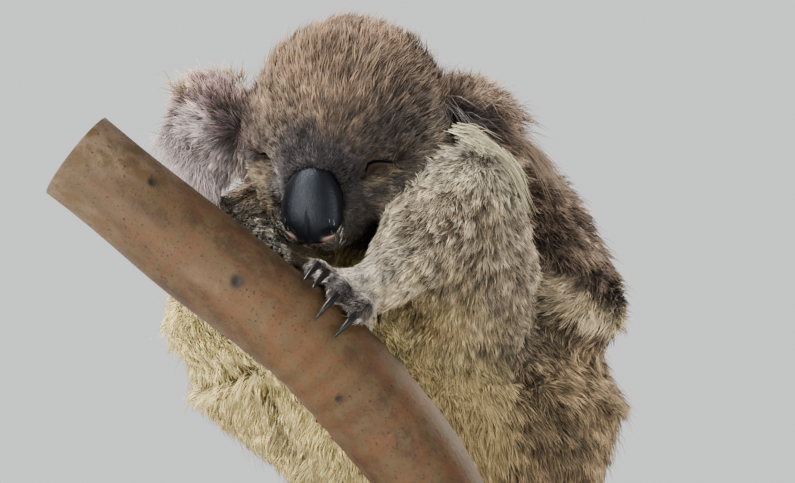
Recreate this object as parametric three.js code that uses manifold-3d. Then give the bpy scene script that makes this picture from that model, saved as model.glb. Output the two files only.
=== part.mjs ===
// A life-size koala asleep with its feet on a cut length of branch, on a plain display stand.
// Millimetres, +Z up, origin at the middle of the stand's underside. The koala faces -Y, so its own
// left is +X. Every form of flesh is as large as the tips of its coat, and the places of the body are
// measured from its seat, SEAT above the floor.
import * as THREE from "three";
import { mergeVertices } from "three/addons/utils/BufferGeometryUtils.js";
import Module from "manifold-3d";

const wasm = await Module();
wasm.setup();

// ---- driving dimensions ----
const BASE = { width: 330, depth: 290, thick: 22, corner: 40, edge: 3 };
const ROD_RADIUS = 7;
const SEAT = 58; // height of the koala's seat over the floor
const PARTING = 0.4; // gap between two solids that touch
const BRANCH_RADIUS = 30;

const HEAD = { centre: at(-32, -50, 266), bow: 40, turn: -18, lean: 4 };
const NOSE = { width: 41, length: 52, dome: 9, depth: 9, slope: 38 };
const LID = { width: 23, height: 15, depth: 12 };

const JOINTS = {
  left: {
    shoulder: at(80, 42, 208),
    elbow: at(121, 6, 147),
    wrist: at(32, -10, 180),
    hip: at(50, -14, 128),
    knee: at(46, -78, 222),
    ankle: at(-4, -108, 166),
  },
  right: {
    shoulder: at(-72, 42, 204),
    elbow: at(-119, -6, 138),
    wrist: at(-52, -74, 116),
    hip: at(-34, -5, 104),
    knee: at(-108, -22, 188),
    ankle: at(-84, -76, 178),
  },
};

function at(x, y, z) {
  return new THREE.Vector3(x, y, z);
}

const radians = THREE.MathUtils.degToRad;

// ---- solids from three.js geometry ----

// A geometry without its normals and texture map, as a solid.
function solidOf(geometry) {
  const bare = geometry.clone();
  bare.deleteAttribute("normal");
  bare.deleteAttribute("uv");
  const merged = mergeVertices(bare, 1e-3);
  return new wasm.Manifold(
    new wasm.Mesh({
      numProp: 3,
      vertProperties: new Float32Array(merged.attributes.position.array),
      triVerts: new Uint32Array(merged.index.array),
    }),
  );
}

// A solid back as a geometry.
function geometryOf(solid) {
  const mesh = solid.getMesh();
  return new THREE.BufferGeometry()
    .setAttribute("position", new THREE.BufferAttribute(mesh.vertProperties, 3))
    .setIndex(new THREE.BufferAttribute(mesh.triVerts, 1))
    .toNonIndexed();
}

// A unit sphere's vertices, each moved to place(its direction). The poles are on the sphere's Y axis.
function formed(around, rings, place) {
  const geometry = new THREE.SphereGeometry(1, around, rings);
  const position = geometry.getAttribute("position");
  const direction = at(0, 0, 0);
  for (let i = 0; i < position.count; i++) {
    const moved = place(direction.fromBufferAttribute(position, i).clone());
    position.setXYZ(i, moved.x, moved.y, moved.z);
  }
  return solidOf(geometry);
}

// About how far a point is outside an ellipsoid.
function outside(point, { centre, radii }) {
  const scaled = point.clone().sub(centre).divide(radii);
  const length = scaled.length();
  return (length * (length - 1)) / Math.max(scaled.divide(radii).length(), 1e-6);
}

// Where a ray from the middle leaves the lumps, which run together into one smooth form as clay does.
function surface({ lumps, softness, middle, reach }, direction, grow) {
  let near = 0;
  let far = reach;
  while (far - near > 1e-4) {
    const half = (near + far) / 2;
    const point = middle.clone().addScaledVector(direction, half);
    const sum = lumps.reduce((s, each) => s + Math.exp(-outside(point, each) / softness), 0);
    if (sum > 1) near = half;
    else far = half;
  }
  return middle.clone().addScaledVector(direction, near + grow);
}

const clay = (form, around, rings, grow) =>
  formed(around, rings, (direction) => surface(form, direction, grow));

const lump = (centre, radii) => ({ centre, radii });

// A rounded tube along a curve. radius(t) is its half-width at t from 0 to 1, its ends are domes, and
// flat is how thick it is towards face, a direction that it never runs along, for a width of 1.
function tube(curve, radius, around, rings, grow, flat = 1, face = at(0, 0, 1)) {
  const DOME = 0.28; // share of the rings that each end's dome takes
  return formed(around, rings, (direction) => {
    const share = Math.acos(THREE.MathUtils.clamp(direction.y, -1, 1)) / Math.PI;
    const t = THREE.MathUtils.clamp((share - DOME) / (1 - 2 * DOME), 0, 1);
    const bend = share < DOME ? 1 - share / DOME : share > 1 - DOME ? (share - 1 + DOME) / DOME : 0;
    const spread = Math.cos((bend * Math.PI) / 2);
    const forward = Math.sin((bend * Math.PI) / 2) * (share < 0.5 ? -1 : 1);
    const along = curve.getTangent(t);
    const side = at(0, 0, 0).crossVectors(along, face).normalize();
    const up = at(0, 0, 0).crossVectors(along, side);
    const turn = Math.atan2(direction.z, direction.x);
    const r = radius(t) + grow;
    return curve
      .getPoint(t)
      .addScaledVector(along, forward * r * flat)
      .addScaledVector(side, Math.cos(turn) * spread * r)
      .addScaledVector(up, Math.sin(turn) * spread * (r * flat));
  });
}

// A straight limb length from one joint to the next, with a swelling of muscle between them.
function limb(from, to, start, end, muscle, around, rings, grow) {
  const radius = (t) => start + (end - start) * t + muscle * Math.sin(Math.PI * t);
  return tube(new THREE.LineCurve3(from, to), radius, around, rings, grow);
}

// ---- the list of pieces: each new solid is cut back from those placed before it ----
const koala = new THREE.Group();
const placed = [];
const FINISHES = {
  fur: { color: 0x8a7a68, roughness: 0.95, metalness: 0 },
  pale_fur: { color: 0xd0c4a0, roughness: 0.95, metalness: 0 },
  nose: { color: 0x17181c, roughness: 0.55, metalness: 0 },
  lid: { color: 0x4a3b33, roughness: 0.7, metalness: 0 },
  claw: { color: 0x1d1a1c, roughness: 0.35, metalness: 0 },
  bark: { color: 0x8c6546, roughness: 0.85, metalness: 0 },
  wood: { color: 0x6b4a32, roughness: 0.5, metalness: 0 },
  steel: { color: 0x9a9a9c, roughness: 0.35, metalness: 1 },
};

// build(grow) gives the solid, grown by that much all over.
function place(name, finish, build) {
  let solid = build(0);
  for (const other of placed) solid = solid.subtract(other);
  const whole = solid.decompose().sort((a, b) => b.volume() - a.volume())[0];
  placed.push(build(PARTING));
  const mesh = new THREE.Mesh(geometryOf(whole), new THREE.MeshStandardMaterial(FINISHES[finish]));
  mesh.name = name;
  koala.add(mesh);
}

// ---- the stand: a board with rounded corners and two rods ----
function slab(width, depth, thick, corner, edge) {
  const outline = new THREE.Shape();
  const x = width / 2 - edge;
  const y = depth / 2 - edge;
  const r = corner - edge;
  outline.moveTo(x - r, -y).absarc(x - r, -y + r, r, -Math.PI / 2, 0);
  outline.absarc(x - r, y - r, r, 0, Math.PI / 2);
  outline.absarc(-x + r, y - r, r, Math.PI / 2, Math.PI);
  outline.absarc(-x + r, -y + r, r, Math.PI, 1.5 * Math.PI);
  const shape = { depth: thick - 2 * edge, bevelThickness: edge, bevelSize: edge, bevelSegments: 2 };
  const board = new THREE.ExtrudeGeometry(outline, { ...shape, curveSegments: 3 });
  return board.translate(0, 0, edge);
}

place("stand_base", "wood", () => {
  return solidOf(slab(BASE.width, BASE.depth, BASE.thick, BASE.corner, BASE.edge).translate(0, 0, -SEAT));
});

// A vertical rod from the board up to a height over the seat.
function rod(x, y, top, grow) {
  const foot = BASE.thick - SEAT + PARTING;
  const round = new THREE.CylinderGeometry(ROD_RADIUS + grow, ROD_RADIUS + grow, top - foot, 16);
  return solidOf(round.rotateX(Math.PI / 2).translate(x, y, (top + foot) / 2));
}

const BODY_ROD = { x: 8, y: 30, top: 34 };
place("stand_rod_body", "steel", (grow) => rod(BODY_ROD.x, BODY_ROD.y, BODY_ROD.top, grow));

const PERCH_ROD = { x: 34, y: -122, top: 12 };
place("stand_rod_perch", "steel", (grow) => rod(PERCH_ROD.x, PERCH_ROD.y, PERCH_ROD.top, grow));

// ---- the perch: a smooth-barked branch that curves down across the body ----
const branch = new THREE.CatmullRomCurve3([
  at(-200, -118, 244),
  at(-134, -124, 192),
  at(-87, -128, 156),
  at(-44, -130, 120),
  at(-9, -129, 80),
  at(16, -127, 48),
  at(33, -122, 15),
  at(42, -118, -16),
]);
const BRANCH_LENGTH = branch.getLength();

// A round section pulled along the branch, with a slow swelling, and sawn square at both ends.
function branchSolid(grow) {
  const SIDES = 14;
  const STEPS = 14;
  const ring = new THREE.Shape().absarc(0, 0, 1, 0, 2 * Math.PI);
  const sweep = new THREE.ExtrudeGeometry(ring, {
    extrudePath: new THREE.LineCurve3(at(0, 0, 0), at(0, 0, 1)),
    steps: STEPS,
    curveSegments: SIDES / 2,
  });
  const position = sweep.getAttribute("position");
  for (let i = 0; i < position.count; i++) {
    const t = THREE.MathUtils.clamp(position.getZ(i), 0, 1);
    const turn = Math.atan2(position.getY(i), position.getX(i));
    const full = Math.hypot(position.getX(i), position.getY(i));
    const swell = 1 + 0.05 * t + 0.025 * Math.sin(9 * t + turn) + 0.02 * Math.sin(17 * t - 2 * turn);
    const { back, up } = branchSides(t);
    const p = branch
      .getPointAt(t)
      .addScaledVector(up, Math.sin(turn) * full * (BRANCH_RADIUS * swell + grow))
      .addScaledVector(back, Math.cos(turn) * full * (BRANCH_RADIUS * swell + grow));
    position.setXYZ(i, p.x, p.y, p.z);
  }
  return solidOf(sweep);
}

// The two directions across the branch at t: towards the koala, and up.
function branchSides(t) {
  const along = branch.getTangentAt(t);
  const up = at(0, 0, 0).crossVectors(at(0, 1, 0), along).negate().normalize();
  const back = at(0, 0, 0).crossVectors(along, up).negate().normalize();
  return { back, up };
}

place("perch_branch", "bark", branchSolid);

// A point beside the branch: so far along it, turned from its back over its top, and so far out.
function beside(distance, degrees, out) {
  const t = THREE.MathUtils.clamp(distance / BRANCH_LENGTH, 0, 1);
  const { back, up } = branchSides(t);
  return branch
    .getPointAt(t)
    .addScaledVector(back, Math.cos(radians(degrees)) * out)
    .addScaledVector(up, Math.sin(radians(degrees)) * out);
}

// ---- the trunk: rump, haunches, back and chest in one form ----

const TRUNK = {
  lumps: [
    lump(at(60, 26, 76), at(94, 88, 75)),
    lump(at(-54, 18, 110), at(90, 78, 61)),
    lump(at(10, 46, 160), at(112, 80, 88)),
    lump(at(4, 44, 222), at(86, 62, 54)),
    lump(at(-8, -26, 68), at(73, 54, 62)),
  ],
  softness: 12,
  middle: at(8, 30, 130),
  reach: 240,
};
place("trunk", "fur", (grow) => clay(TRUNK, 20, 14, grow));

// ---- the head, in its own frame: its middle at 0, -Y towards the nose, +Z to the crown ----
const headTurn = new THREE.Euler(radians(HEAD.bow), radians(HEAD.lean), radians(HEAD.turn), "YZX");
const headFrame = new THREE.Matrix4().makeRotationFromEuler(headTurn).setPosition(HEAD.centre);

// A point or a form of the head's own frame, in the body's.
const headPoint = (x, y, z) => at(x, y, z).applyMatrix4(headFrame);

function inHead(solid) {
  return solidOf(geometryOf(solid).applyMatrix4(headFrame));
}

// The nose pad: an upright oval on the slope of the muzzle, broader low down, with a low dome.
const NOSE_MIDDLE = at(0, -73.5, -6);
function nosePad(grow) {
  const slope = new THREE.Matrix4().makeRotationX(radians(-NOSE.slope)).setPosition(NOSE_MIDDLE);
  return inHead(
    formed(16, 8, (direction) => {
      const high = direction.z;
      const broad = 1 - 0.12 * high;
      const out = direction.y < 0 ? NOSE.dome : NOSE.depth;
      const p = at(
        direction.x * (NOSE.width / 2) * broad + Math.sign(direction.x) * grow,
        Math.sign(direction.y) * Math.abs(direction.y) ** 0.8 * (out + grow),
        high * (NOSE.length / 2 + grow),
      );
      return p.applyMatrix4(slope);
    }),
  );
}
place("nose", "nose", nosePad);

// The skull with its cheeks, the bridge down to the nose, the muzzle and the chin.
const SKULL = {
  lumps: [
    lump(at(0, 12, 8), at(62, 63, 54)),
    lump(at(0, -22, 10), at(36, 40, 32)),
    lump(at(34, -10, -16), at(33, 42, 36)),
    lump(at(-34, -10, -16), at(33, 42, 36)),
    lump(at(0, -50, -20), at(25, 31, 26)),
    lump(at(0, -36, -40), at(22, 30, 15)),
  ],
  softness: 8,
  middle: at(0, 0, -2),
  reach: 130,
};

// The closed lids: a low lens that stands a little out of each side of the face.
const EYES = { left: at(0.6, -0.79, 0.12), right: at(-0.6, -0.79, 0.12) };
for (const [side, toEye] of Object.entries(EYES)) {
  const middle = surface(SKULL, toEye.normalize(), -3.5);
  place(`eyelid_${side}`, "lid", (grow) =>
    inHead(
      formed(10, 5, (direction) =>
        at(
          middle.x + direction.x * (LID.width / 2 + grow),
          middle.y + direction.y * (LID.depth / 2 + grow),
          middle.z + direction.z * (LID.height / 2 + grow),
        ),
      ),
    ),
  );
}

place("head", "fur", (grow) => inHead(clay(SKULL, 24, 15, grow)));
place("neck", "fur", (grow) => limb(headPoint(8, 28, -6), at(4, 50, 210), 50, 66, 0, 13, 7, grow));

// An ear: a round cup that faces forward, turned in the plane of the face by lean and out by turn.
const EAR = { thick: 14, hollow: 0.6 };
const EARS = {
  left: { centre: at(55, -26, 265), long: 42, short: 29, lean: -46, turn: 24 },
  right: { centre: at(-119, -40, 262), long: 42, short: 32, lean: 6, turn: -22 },
};
function ear({ centre, long, short, lean, turn }, grow) {
  const aim = new THREE.Euler(radians(8), radians(lean), radians(turn), "ZYX");
  const frame = new THREE.Matrix4().makeRotationFromEuler(aim).setPosition(centre);
  return formed(15, 6, (direction) => {
    const rim = Math.hypot(direction.x, direction.z);
    const front = direction.y < 0 ? 1 - EAR.hollow * (1 - rim ** 2) : 1;
    return at(
      direction.x * (short + grow),
      direction.y * EAR.thick * front + Math.sign(direction.y) * grow,
      direction.z * (long + grow),
    ).applyMatrix4(frame);
  });
}
for (const side of Object.keys(EARS)) place(`ear_${side}`, "fur", (grow) => ear(EARS[side], grow));

// ---- legs and arms ----
for (const [side, joint] of Object.entries(JOINTS)) {
  place(`leg_${side}_thigh`, "fur", (grow) => limb(joint.knee, joint.hip, 34, 46, 5, 13, 8, grow));
  place(`leg_${side}_shank`, "fur", (grow) => limb(joint.knee, joint.ankle, 30, 20, 8, 11, 7, grow));
  place(`arm_${side}_upper`, "fur", (grow) => limb(joint.shoulder, joint.elbow, 43, 34, 2, 11, 7, grow));
  place(`arm_${side}_fore`, "fur", (grow) => limb(joint.elbow, joint.wrist, 32, 20, 2, 9, 6, grow));
}

// ---- feet and hands: a pad with its digits, and a claw on each digit but the great toe ----
const CLAW = { root: 4.3, length: 24, flat: 0.8, side: at(0.8, 0.3, -0.5) };
const DIGIT_SIDES = 6;
const DIGIT_RINGS = 5;

// A digit along its path of points, narrowing to the tip.
function digit(path, root, tip, grow) {
  const curve = new THREE.CatmullRomCurve3(path);
  return tube(curve, (t) => root + (tip - root) * t, DIGIT_SIDES, DIGIT_RINGS, grow);
}

// A curved claw that leaves the tip of its digit and hooks down.
function claw(path, grow) {
  const curve = new THREE.CatmullRomCurve3(path);
  return tube(curve, (t) => Math.max(CLAW.root * (1 - t) ** 0.75, 0.6), 5, 4, grow, CLAW.flat, CLAW.side);
}

// The digits of one foot or hand that hold the branch, each with where its claw goes.
// reach lists where each digit lies: [distance along, first degree, last degree, root, tip radius].
function gripping(reach) {
  const ARC = 4;
  return reach.map(([distance, first, last, root, tip]) => {
    const out = BRANCH_RADIUS + 2 + (root + tip) / 2;
    const arc = Array.from({ length: ARC }, (_, i) =>
      beside(distance, first + ((last - first) * i) / (ARC - 1), out - 1.5 * (i / (ARC - 1))),
    );
    const turn = Math.sign(last - first);
    const nail = (share, lift) => {
      const degrees = last + turn * (share * CLAW.length) / out * (180 / Math.PI);
      return beside(distance, degrees, out + lift);
    };
    return {
      path: arc,
      root,
      tip,
      nail: [nail(-0.2, 1.5), nail(0.35, 3.2), nail(0.75, 0.6), nail(1.15, -3.4)],
    };
  });
}

// Digits bent freely from a palm, for a hand that holds nothing.
function resting(knuckles, heel, reach, droop) {
  return knuckles.map((knuckle) => {
    const away = knuckle.clone().sub(heel).setZ(0).normalize();
    const point = (far, down) => knuckle.clone().addScaledVector(away, far * reach).add(at(0, 0, -down * droop));
    return {
      path: [point(-0.3, 0), point(0.3, 0.05), point(0.8, 0.5), point(1.1, 1.2)],
      root: 7.5,
      tip: 6.5,
      nail: [point(1.05, 1.1), point(1.4, 1.8), point(1.55, 2.7), point(1.5, 3.7)],
    };
  });
}

// A palm or sole: an oval pad that lies on the branch, long and wide along it, with the leg's end.
function pad(leg, radius, { distance, degrees, long, wide, thick }, grow) {
  const centre = beside(distance, degrees, BRANCH_RADIUS + thick);
  const t = distance / BRANCH_LENGTH;
  const out = centre.clone().sub(branch.getPointAt(t)).normalize();
  const along = branch.getTangentAt(t);
  const across = at(0, 0, 0).crossVectors(out, along);
  const frame = new THREE.Matrix4().makeBasis(along, across, out).setPosition(centre);
  const oval = formed(10, 6, (direction) =>
    at(
      direction.x * (long + grow),
      direction.y * (wide + grow),
      direction.z * (thick + grow),
    ).applyMatrix4(frame),
  );
  return oval.add(limb(leg, centre, radius, thick, 1, 9, 6, grow));
}

// A pad and its digits as one piece, and each claw as its own.
function extremity(name, palm, digits, clawNames) {
  place(name, "pale_fur", (grow) =>
    digits.reduce((whole, d) => whole.add(digit(d.path, d.root, d.tip, grow)), palm(grow)),
  );
  clawNames.forEach(([clawName, which]) => {
    place(`claw_${name}_${clawName}`, "claw", (grow) => claw(digits[which].nail, grow));
  });
}

const FINGERS = ["first", "second", "third", "fourth", "fifth"].map((word, i) => [word, i]);
const TOES = [
  ["second", 1],
  ["third", 2],
  ["fourth", 3],
  ["fifth", 4],
];

// The left foot's second and third toes are joined in one skin, and its fourth and fifth are the largest.
const LEFT_SOLE = { distance: 179, degrees: 56, long: 27, wide: 19, thick: 11 };
extremity(
  "foot_left",
  (grow) => pad(JOINTS.left.ankle, 19, LEFT_SOLE, grow),
  gripping(
    [
      [204, 50, -8, 8, 7],
      [162, 58, 88, 7.5, 7],
      [169, 58, 90, 7.5, 7],
      [182, 66, 118, 8.5, 8],
      [197, 66, 120, 9, 8.5],
    ],
  ),
  TOES,
);

// The right foot holds the branch from behind, next to the left one.
const RIGHT_SOLE = { distance: 122, degrees: -2, long: 26, wide: 19, thick: 11 };
extremity(
  "foot_right",
  (grow) => pad(JOINTS.right.ankle, 20, RIGHT_SOLE, grow),
  gripping(
    [
      [142, -10, -40, 8, 7],
      [139, 2, 22, 6.5, 6],
      [131, 0, 22, 6.5, 6],
      [119, -4, 18, 8.5, 8],
      [104, -4, 16, 9, 8.5],
    ],
  ),
  TOES,
);

// The right hand holds the branch low down from behind, two fingers over it and three under.
const RIGHT_PALM = { distance: 228, degrees: -6, long: 24, wide: 17, thick: 10 };
extremity(
  "hand_right",
  (grow) => pad(JOINTS.right.wrist, 19, RIGHT_PALM, grow),
  gripping(
    [
      [218, 4, 18, 7, 6],
      [233, 4, 18, 7.5, 6.5],
      [214, -10, -22, 7.5, 6.5],
      [229, -12, -24, 8, 7],
      [244, -10, -22, 7.5, 6.5],
    ],
  ),
  FINGERS,
);

// The left hand is folded under the chin.
const leftPalm = at(4, -50, 178);
extremity(
  "hand_left",
  (grow) => limb(JOINTS.left.wrist, leftPalm, 19, 15, 2, 10, 6, grow),
  resting(
    [at(2, -66, 172), at(-6, -62, 170), at(-13, -55, 170), at(-16, -46, 171), at(-15, -36, 173)],
    JOINTS.left.wrist,
    17,
    9,
  ),
  FINGERS,
);

koala.position.z = SEAT;
const model = new THREE.Group();
model.add(koala);

export default model;
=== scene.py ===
"""A life-size koala asleep on a cut length of branch, on a plain display stand. Metres, +Z up."""

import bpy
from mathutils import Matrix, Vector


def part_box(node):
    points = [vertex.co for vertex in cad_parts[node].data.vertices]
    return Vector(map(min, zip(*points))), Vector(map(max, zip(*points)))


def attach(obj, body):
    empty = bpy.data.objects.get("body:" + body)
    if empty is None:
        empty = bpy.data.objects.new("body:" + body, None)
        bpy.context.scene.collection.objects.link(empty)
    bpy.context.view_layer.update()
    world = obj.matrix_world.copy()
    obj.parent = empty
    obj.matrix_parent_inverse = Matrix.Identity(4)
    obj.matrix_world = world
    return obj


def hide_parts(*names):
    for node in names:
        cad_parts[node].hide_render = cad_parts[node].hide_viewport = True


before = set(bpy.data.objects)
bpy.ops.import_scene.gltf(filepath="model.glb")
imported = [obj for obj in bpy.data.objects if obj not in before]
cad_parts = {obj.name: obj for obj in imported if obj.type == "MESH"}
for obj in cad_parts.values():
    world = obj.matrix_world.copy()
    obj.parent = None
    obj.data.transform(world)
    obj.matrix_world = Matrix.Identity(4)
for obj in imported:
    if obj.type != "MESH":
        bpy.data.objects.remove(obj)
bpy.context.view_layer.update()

import math

import bpy
import numpy as np
from mathutils import Matrix, Vector


# ---- The display stand ----
# A board of dark oiled wood with a rounded edge, and two plain steel rods let into it: one goes up
# into the koala's seat and one into the cut end of the branch.
def piece(name, slot, points, triangles, finish, nodes=(), **painted):
    """An object from points and rows of three corner numbers, turned to face outwards.
    painted holds one row of numbers for each point, three wide for a place and four for a colour."""
    a, b, c = (points[triangles[:, k]] for k in range(3))
    if (np.cross(a, b) * c).sum() < 0:
        triangles = triangles[:, ::-1]
    mesh = bpy.data.meshes.new(name)
    mesh.vertices.add(len(points))
    mesh.vertices.foreach_set("co", np.ascontiguousarray(points, np.float32).ravel())
    mesh.loops.add(triangles.size)
    mesh.loops.foreach_set("vertex_index", np.ascontiguousarray(triangles, np.int32).ravel())
    mesh.polygons.add(len(triangles))
    mesh.polygons.foreach_set("loop_start", np.arange(0, triangles.size, 3, dtype=np.int32))
    mesh.update(calc_edges=True)
    mesh.shade_smooth()
    for label, rows in painted.items():
        kind, field = ("FLOAT_VECTOR", "vector") if rows.shape[1] == 3 else ("FLOAT_COLOR", "color")
        layer = mesh.attributes.new(label, kind, "POINT")
        layer.data.foreach_set(field, np.ascontiguousarray(rows, np.float32).ravel())
    mesh.materials.append(finish)
    made = bpy.data.objects.new(name, mesh)
    bpy.context.collection.objects.link(made)
    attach(made, "root")
    if nodes:
        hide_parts(*nodes)
    return made


def woven(rings):
    """The points and triangles of a closed skin over rings of points, with a fan over each end."""
    count, around = rings.shape[:2]
    ring = np.arange(count * around).reshape(count, around)
    here, there = ring[:-1], ring[1:]
    square = np.stack([here, np.roll(here, -1, 1), np.roll(there, -1, 1), there], -1).reshape(-1, 4)
    first, last = count * around, count * around + 1
    turned = np.roll(ring, -1, 1)
    caps = [
        np.stack([turned[0], ring[0], np.full(around, first)], -1),
        np.stack([ring[-1], turned[-1], np.full(around, last)], -1),
    ]
    points = np.vstack([rings.reshape(-1, 3), rings[0].mean(0), rings[-1].mean(0)])
    return points, np.vstack([square[:, [0, 1, 2]], square[:, [0, 2, 3]], *caps])


class Shade:
    """A socket of a material. Arithmetic on shades and numbers adds Math nodes."""

    def __init__(self, socket):
        self.socket = socket

    def node(self, kind, settings, links, output=0):
        """Adds any node: its settings first, then its sockets' values or links. Gives one output."""
        node = self.socket.id_data.nodes.new("ShaderNode" + kind)
        for label, value in settings.items():
            setattr(node, label, value)
        for label, value in links.items():
            if isinstance(value, Shade):
                self.socket.id_data.links.new(value.socket, node.inputs[label])
            else:
                node.inputs[label].default_value = value
        return Shade(node.outputs[output])

    def maths(self, operation, *values):
        return self.node("Math", {"operation": operation}, dict(enumerate(values)))

    def __add__(self, other):
        return self.maths("ADD", self, other)

    def __sub__(self, other):
        return self.maths("SUBTRACT", self, other)

    def __mul__(self, other):
        return self.maths("MULTIPLY", self, other)

    def __rsub__(self, other):
        return self.maths("SUBTRACT", other, self)

    __radd__ = __add__
    __rmul__ = __mul__

    def step(self, low, high):
        """0 below low and 1 above high, with a smooth rise between them."""
        return self.node(
            "MapRange",
            {"interpolation_type": "SMOOTHSTEP"},
            {"Value": self, "From Min": low, "From Max": high},
        )

    def mixed(self, first, second):
        """A colour that goes from first to second as this shade goes from 0 to 1."""
        return self.node("Mix", {"data_type": "RGBA"}, {0: self, 6: first, 7: second}, 2)

    def noise(self, scale, detail=3.0, roughness=0.5):
        links = {"Vector": self, "Scale": scale, "Detail": detail, "Roughness": roughness}
        return self.node("TexNoise", {"noise_dimensions": "3D"}, links)

    def stretched(self, scale):
        return self.node("Mapping", {"vector_type": "POINT"}, {"Vector": self, "Scale": scale})

    def bump(self, strength, distance):
        return self.node("Bump", {}, {"Height": self, "Strength": strength, "Distance": distance})

    def carried(self, name, output="Color"):
        """What a piece carries for each of its points under that name."""
        return self.node("Attribute", {"attribute_name": name}, {}, output)

    def marks(self):
        """The two measures that a piece carries as the red and green of its marks."""
        parts = self.node("SeparateColor", {}, {"Color": self.carried("marks")})
        return parts, Shade(parts.socket.node.outputs["Green"])


def material(name, constants, painted):
    """A material: constants are set on the shader's sockets, and painted(place) gives what varies."""
    made = bpy.data.materials.new(name)
    made.use_nodes = True
    shader = made.node_tree.nodes["Principled BSDF"]
    for label, value in constants.items():
        shader.inputs[label].default_value = value
    place = Shade(shader.inputs["Base Color"]).node("TexCoord", {}, {}, "Object")
    for label, shade in painted(place).items():
        made.node_tree.links.new(shade.socket, shader.inputs[label])
    return made


def oiled_wood(place):
    """Long grain along X, from two noises stretched along it, and fine open pores."""
    grain = place.stretched((3, 60, 60)).noise(2.2, 4)
    pores = place.stretched((12, 420, 420)).noise(1.6, 2)
    tone = grain * 0.8 + pores * 0.25
    colour = tone.step(0.3, 0.75).mixed((0.045, 0.022, 0.012, 1), (0.135, 0.068, 0.034, 1))
    return {
        "Base Color": colour,
        "Roughness": tone * 0.25 + 0.28,
        "Normal": pores.bump(0.15, 0.0006),
    }


def brushed_steel(place):
    """Plain round bar, with fine marks round it."""
    marks = place.stretched((40, 40, 900)).noise(3, 2)
    return {
        "Base Color": marks.mixed((0.42, 0.42, 0.43, 1), (0.62, 0.62, 0.62, 1)),
        "Roughness": marks * 0.2 + 0.22,
    }


def round_angles(sides):
    """Angles spaced evenly round a circle."""
    return np.linspace(0, 2 * np.pi, sides, endpoint=False)


wood = material("oiled wood", {"Coat Weight": 0.15, "Coat Roughness": 0.3}, oiled_wood)
steel = material("brushed steel", {"Metallic": 1.0}, brushed_steel)

# The board: quarter circles at its corners, and a quarter circle up and down over its edge.
CORNER, EDGE = 0.040, 0.004  # their radii
BOARD_SIDES, EDGE_STEPS = 128, 7
low, high = (np.array(corner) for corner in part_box("stand_base"))
turn = round_angles(BOARD_SIDES) + np.pi / BOARD_SIDES
fillet = np.linspace(0, np.pi / 2, EDGE_STEPS)
inset = EDGE * np.concatenate([1 - np.sin(fillet), 1 - np.cos(fillet)])
height = np.concatenate([EDGE * (1 - np.cos(fillet)), high[2] - EDGE * (1 - np.sin(fillet))])
inset, height = inset[:, None], height[:, None]
corner_middle = high[:2] - CORNER
board = np.stack(
    [
        np.sign(np.cos(turn)) * corner_middle[0] + np.cos(turn) * (CORNER - inset),
        np.sign(np.sin(turn)) * corner_middle[1] + np.sin(turn) * (CORNER - inset),
        np.broadcast_to(height, (len(height), len(turn))),
    ],
    -1,
)
piece("board", "stand_wood", *woven(board), wood, ["stand_base"])

ROD_SIDES, ROD_RINGS = 48, 12
for rod in ("stand_rod_body", "stand_rod_perch"):
    low, high = (np.array(corner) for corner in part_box(rod))
    middle, radius = (low + high) / 2, (high - low)[0] / 2
    turn = round_angles(ROD_SIDES)
    height = np.linspace(low[2], high[2], ROD_RINGS)[:, None]
    x, y = middle[0] + radius * np.cos(turn), middle[1] + radius * np.sin(turn)
    rings = np.stack(np.broadcast_arrays(x, y, height), -1)
    piece(rod.replace("stand_", ""), "stand_steel", *woven(rings), steel, [rod])


# ---- The perch ----
# A cut length of smooth-barked gum branch that curves down across the koala's front. The bark is
# brown with rusty and lichened patches, a few small knots and faint wrinkles, and both ends are sawn.
SEAT = 0.058  # height of the koala's seat over the floor


def at(x, y, z):
    """A place of the body, measured up from its seat."""
    return np.array([x, y, z + SEAT])


BRANCH_RADIUS = 0.030
BRANCH = np.array(
    [
        at(-0.200, -0.118, 0.244),
        at(-0.134, -0.124, 0.192),
        at(-0.087, -0.128, 0.156),
        at(-0.044, -0.130, 0.120),
        at(-0.009, -0.129, 0.080),
        at(0.016, -0.127, 0.048),
        at(0.033, -0.122, 0.015),
        at(0.042, -0.118, -0.016),
    ]
)


def curve_through(points, count):
    """A Catmull-Rom curve through the points, at even steps, and its length. The curve's knots are
    spaced by the root of each chord."""
    ends = np.vstack([2 * points[0] - points[1], points, 2 * points[-1] - points[-2]])
    knot = np.concatenate([[0], np.cumsum(np.sqrt(np.linalg.norm(np.diff(ends, axis=0), axis=1)))])
    t = np.linspace(knot[1], knot[-2], count * 8)
    k = np.clip(np.searchsorted(knot, t, "right") - 1, 1, len(points) - 1)
    t = t[:, None]

    def place(step):
        return ends[k + step]

    def when(step):
        return knot[k + step][:, None]

    def blend(a, b, start, end):
        return (a * (end - t) + b * (t - start)) / (end - start)

    first = blend(place(-1), place(0), when(-1), when(0))
    second = blend(place(0), place(1), when(0), when(1))
    third = blend(place(1), place(2), when(1), when(2))
    before = blend(first, second, when(-1), when(1))
    after = blend(second, third, when(0), when(2))
    path = blend(before, after, when(0), when(1))
    length = np.concatenate([[0], np.cumsum(np.linalg.norm(np.diff(path, axis=0), axis=1))])
    even = np.linspace(0, length[-1], count)
    return np.stack([np.interp(even, length, path[:, k]) for k in range(3)], 1), length[-1]


def unit(vectors):
    return vectors / np.maximum(np.linalg.norm(vectors, axis=-1, keepdims=True), 1e-9)


def as_marks(red, green):
    """Two measures for each point, as the red and green of a colour."""
    red, green = red.ravel(), green.ravel()
    return np.stack([red, green, red * 0, red * 0 + 1], 1)


RINGS, SIDES = 420, 120
spine, branch_length = curve_through(BRANCH, RINGS)
along = unit(np.gradient(spine, axis=0))
up = unit(np.cross(along, (0.0, 1.0, 0.0)))
back = unit(np.cross(up, along))
t = np.linspace(0, 1, RINGS)[:, None]
turn = round_angles(SIDES)[None]
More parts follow.
